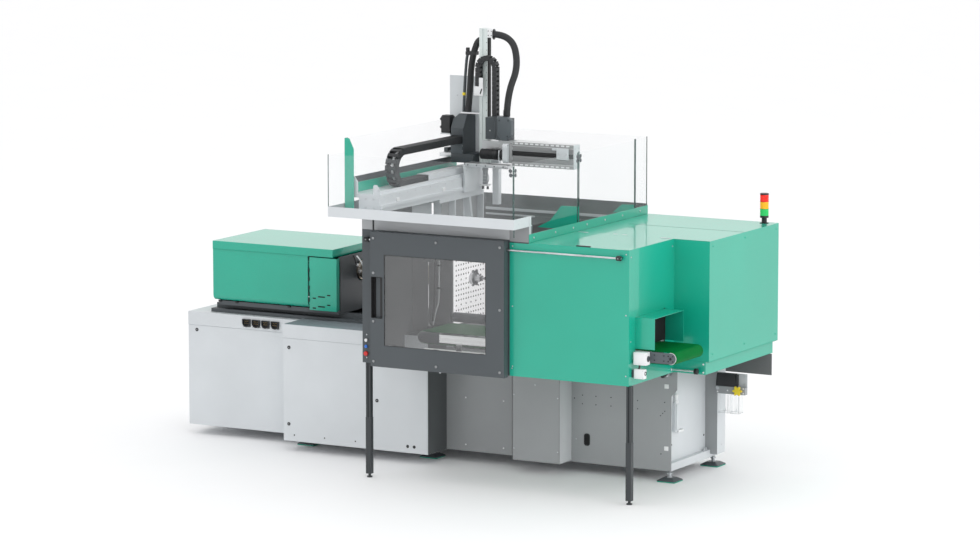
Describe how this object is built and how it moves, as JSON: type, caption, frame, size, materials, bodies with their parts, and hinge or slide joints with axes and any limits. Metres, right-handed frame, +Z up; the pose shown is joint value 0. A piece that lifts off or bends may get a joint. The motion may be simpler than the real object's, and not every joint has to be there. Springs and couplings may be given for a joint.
{
  "type": "injection moulding machine",
  "caption": "Horizontal injection moulding machine with a sliding guard door, a clear-guarded gantry robot on top and a belt conveyor at the clamp end.",
  "frame": {"origin": "on the floor, under the centre of the overall box", "axes": "+X from the injection end to the clamp end, +Y away from the operator, +Z up"},
  "size_m": [4.8719, 2.214, 3.391],
  "materials": {
    "teal_paint": "satin paint",
    "white_paint": "satin paint",
    "dark_paint": "fine textured paint",
    "grey_paint": "satin paint",
    "robot_grey": "fine textured paint",
    "steel": "ground",
    "cast": "machined",
    "zinc": "zinc plated",
    "alu": "anodised",
    "black_plastic": "matte",
    "rubber_black": "matte",
    "belt_green": "matte",
    "clear_pane": "clear",
    "window_pane": "slightly grey",
    "white_plastic": "glossy",
    "blue_plastic": "glossy",
    "red_plastic": "glossy",
    "yellow_plastic": "glossy",
    "lens_plastic": "translucent",
    "band_metal": "heat tinted"
  },
  "bodies": {
    "machine": {"base_frame": "white_paint", "base_panels": "grey_paint", "control_cabinet": "white_paint", "hydraulic_cabinet": "white_paint", "cabinet_panels": "white_paint", "connector_sockets": "black_plastic", "levelling_feet": "zinc", "machine_bed": "dark_paint", "guard_posts": "dark_paint", "door_frame": "dark_paint", "guide_rods": "steel", "front_guard": "teal_paint", "clamp_cover": "teal_paint", "mould_guards": "dark_paint", "fixed_platen": "cast", "tie_bars": "steel", "cylinder_block": "cast", "conveyor_frame": "alu", "conveyor_belt": "belt_green", "conveyor_drive": "white_plastic", "deck_tray": "white_paint", "deck_rails": "teal_paint", "clear_guards": "clear_pane", "robot_beam": "white_paint", "cable_tray": "white_paint", "tower_light": "black_plastic", "tower_lenses": "lens_plastic", "service_unit": "zinc", "filter_bowls": "clear_pane"},
    "door": {"sliding_door": "dark_paint", "door_window": "window_pane"},
    "flap": {"top_flap": "teal_paint"},
    "white_button": {"white_button": "white_plastic"},
    "blue_button": {"blue_button": "blue_plastic"},
    "red_button": {"red_button": "red_plastic"},
    "clamp": {"moving_platen": "cast", "clamp_ram": "steel"},
    "ejector": {"ejector": "steel"},
    "injection_unit": {"unit_base": "dark_paint", "barrel": "steel", "heater_bands": "band_metal", "unit_cover": "teal_paint", "unit_lid": "teal_paint"},
    "injection_piston": {"injection_piston": "steel"},
    "screw": {"screw": "steel"},
    "nozzle_guard": {"nozzle_guard": "teal_paint"},
    "carriage": {"robot_carriage": "robot_grey", "left_cover": "robot_grey", "robot_motors": "black_plastic", "length_beam": "alu"},
    "cross_chain": {"cross_chain": "black_plastic"},
    "slide": {"column_slide": "white_paint", "right_cover": "robot_grey", "robot_hoses": "rubber_black"},
    "column": {"column": "alu"},
    "upright_chain": {"upright_chain": "black_plastic"},
    "gripper": {"gripper": "alu"},
    "drive_roller": {"drive_roller": "steel"},
    "idler_roller": {"idler_roller": "steel"},
    "service_knob": {"service_knob": "yellow_plastic"}
  },
  "joints": [
    {"name": "door_slide", "type": "slide", "parent": "machine", "child": "door", "axis": [1, 0, 0], "range_m": [0, 0.93]},
    {"name": "flap_hinge", "type": "hinge", "parent": "machine", "child": "flap", "pos_m": [1.6, -0.121, 1.936], "axis": [-1, 0, 0], "range_deg": [0, 75]},
    {"name": "white_button_push", "type": "slide", "parent": "machine", "child": "white_button", "axis": [0, 1, 0], "range_m": [0, 0.004], "stiffness_N_per_m": 900},
    {"name": "blue_button_push", "type": "slide", "parent": "machine", "child": "blue_button", "axis": [0, 1, 0], "range_m": [0, 0.004], "stiffness_N_per_m": 900},
    {"name": "red_button_push", "type": "slide", "parent": "machine", "child": "red_button", "axis": [0, 1, 0], "range_m": [0, 0.004], "stiffness_N_per_m": 2500},
    {"name": "clamp_slide", "type": "slide", "parent": "machine", "child": "clamp", "axis": [1, 0, 0], "range_m": [-0.4, 0]},
    {"name": "ejector_slide", "type": "slide", "parent": "clamp", "child": "ejector", "axis": [1, 0, 0], "range_m": [-0.095, 0]},
    {"name": "injection_slide", "type": "slide", "parent": "machine", "child": "injection_unit", "axis": [1, 0, 0], "range_m": [-0.25, 0]},
    {"name": "piston_slide", "type": "slide", "parent": "injection_unit", "child": "injection_piston", "axis": [1, 0, 0], "range_m": [0, 0.18]},
    {"name": "screw_spin", "type": "hinge", "parent": "injection_piston", "child": "screw", "pos_m": [-1, 0.505, 1.4], "axis": [1, 0, 0], "continuous": true},
    {"name": "nozzle_guard_hinge", "type": "hinge", "parent": "injection_unit", "child": "nozzle_guard", "pos_m": [-1.297, 0.109, 1.32], "axis": [0, 0, -1], "range_deg": [0, 90]},
    {"name": "robot_cross", "type": "slide", "parent": "machine", "child": "carriage", "axis": [0, 1, 0], "range_m": [-1.06, 0.04]},
    {"name": "cross_chain_roll", "type": "slide", "parent": "machine", "child": "cross_chain", "axis": [0, 1, 0], "range_m": [-0.53, 0.02]},
    {"name": "robot_length", "type": "slide", "parent": "carriage", "child": "slide", "axis": [1, 0, 0], "range_m": [0, 0.17]},
    {"name": "robot_lift", "type": "slide", "parent": "slide", "child": "column", "axis": [0, 0, 1], "range_m": [-0.47, 0], "deforming": ["robot_hoses"]},
    {"name": "upright_chain_roll", "type": "slide", "parent": "slide", "child": "upright_chain", "axis": [0, 0, 1], "range_m": [-0.235, 0]},
    {"name": "wrist_tilt", "type": "hinge", "parent": "column", "child": "gripper", "pos_m": [0.015, 0.665, 2.262], "axis": [0, -1, 0], "range_deg": [0, 90]},
    {"name": "drive_roller_spin", "type": "hinge", "parent": "machine", "child": "drive_roller", "pos_m": [2.387, -0.5265, 1.122], "axis": [0, 1, 0], "continuous": true},
    {"name": "idler_roller_spin", "type": "hinge", "parent": "machine", "child": "idler_roller", "pos_m": [0.25, -0.5265, 1.122], "axis": [0, 1, 0], "continuous": true},
    {"name": "service_knob_turn", "type": "hinge", "parent": "machine", "child": "service_knob", "pos_m": [2.232, 0.72, 0.641], "axis": [0, -1, 0], "range_deg": [0, 90]}
  ],
  "couplings": [
    {"joint": "cross_chain_roll", "follows": "robot_cross", "ratio": 0.5},
    {"joint": "upright_chain_roll", "follows": "robot_lift", "ratio": 0.5},
    {"joint": "idler_roller_spin", "follows": "drive_roller_spin", "ratio": 1}
  ]
}
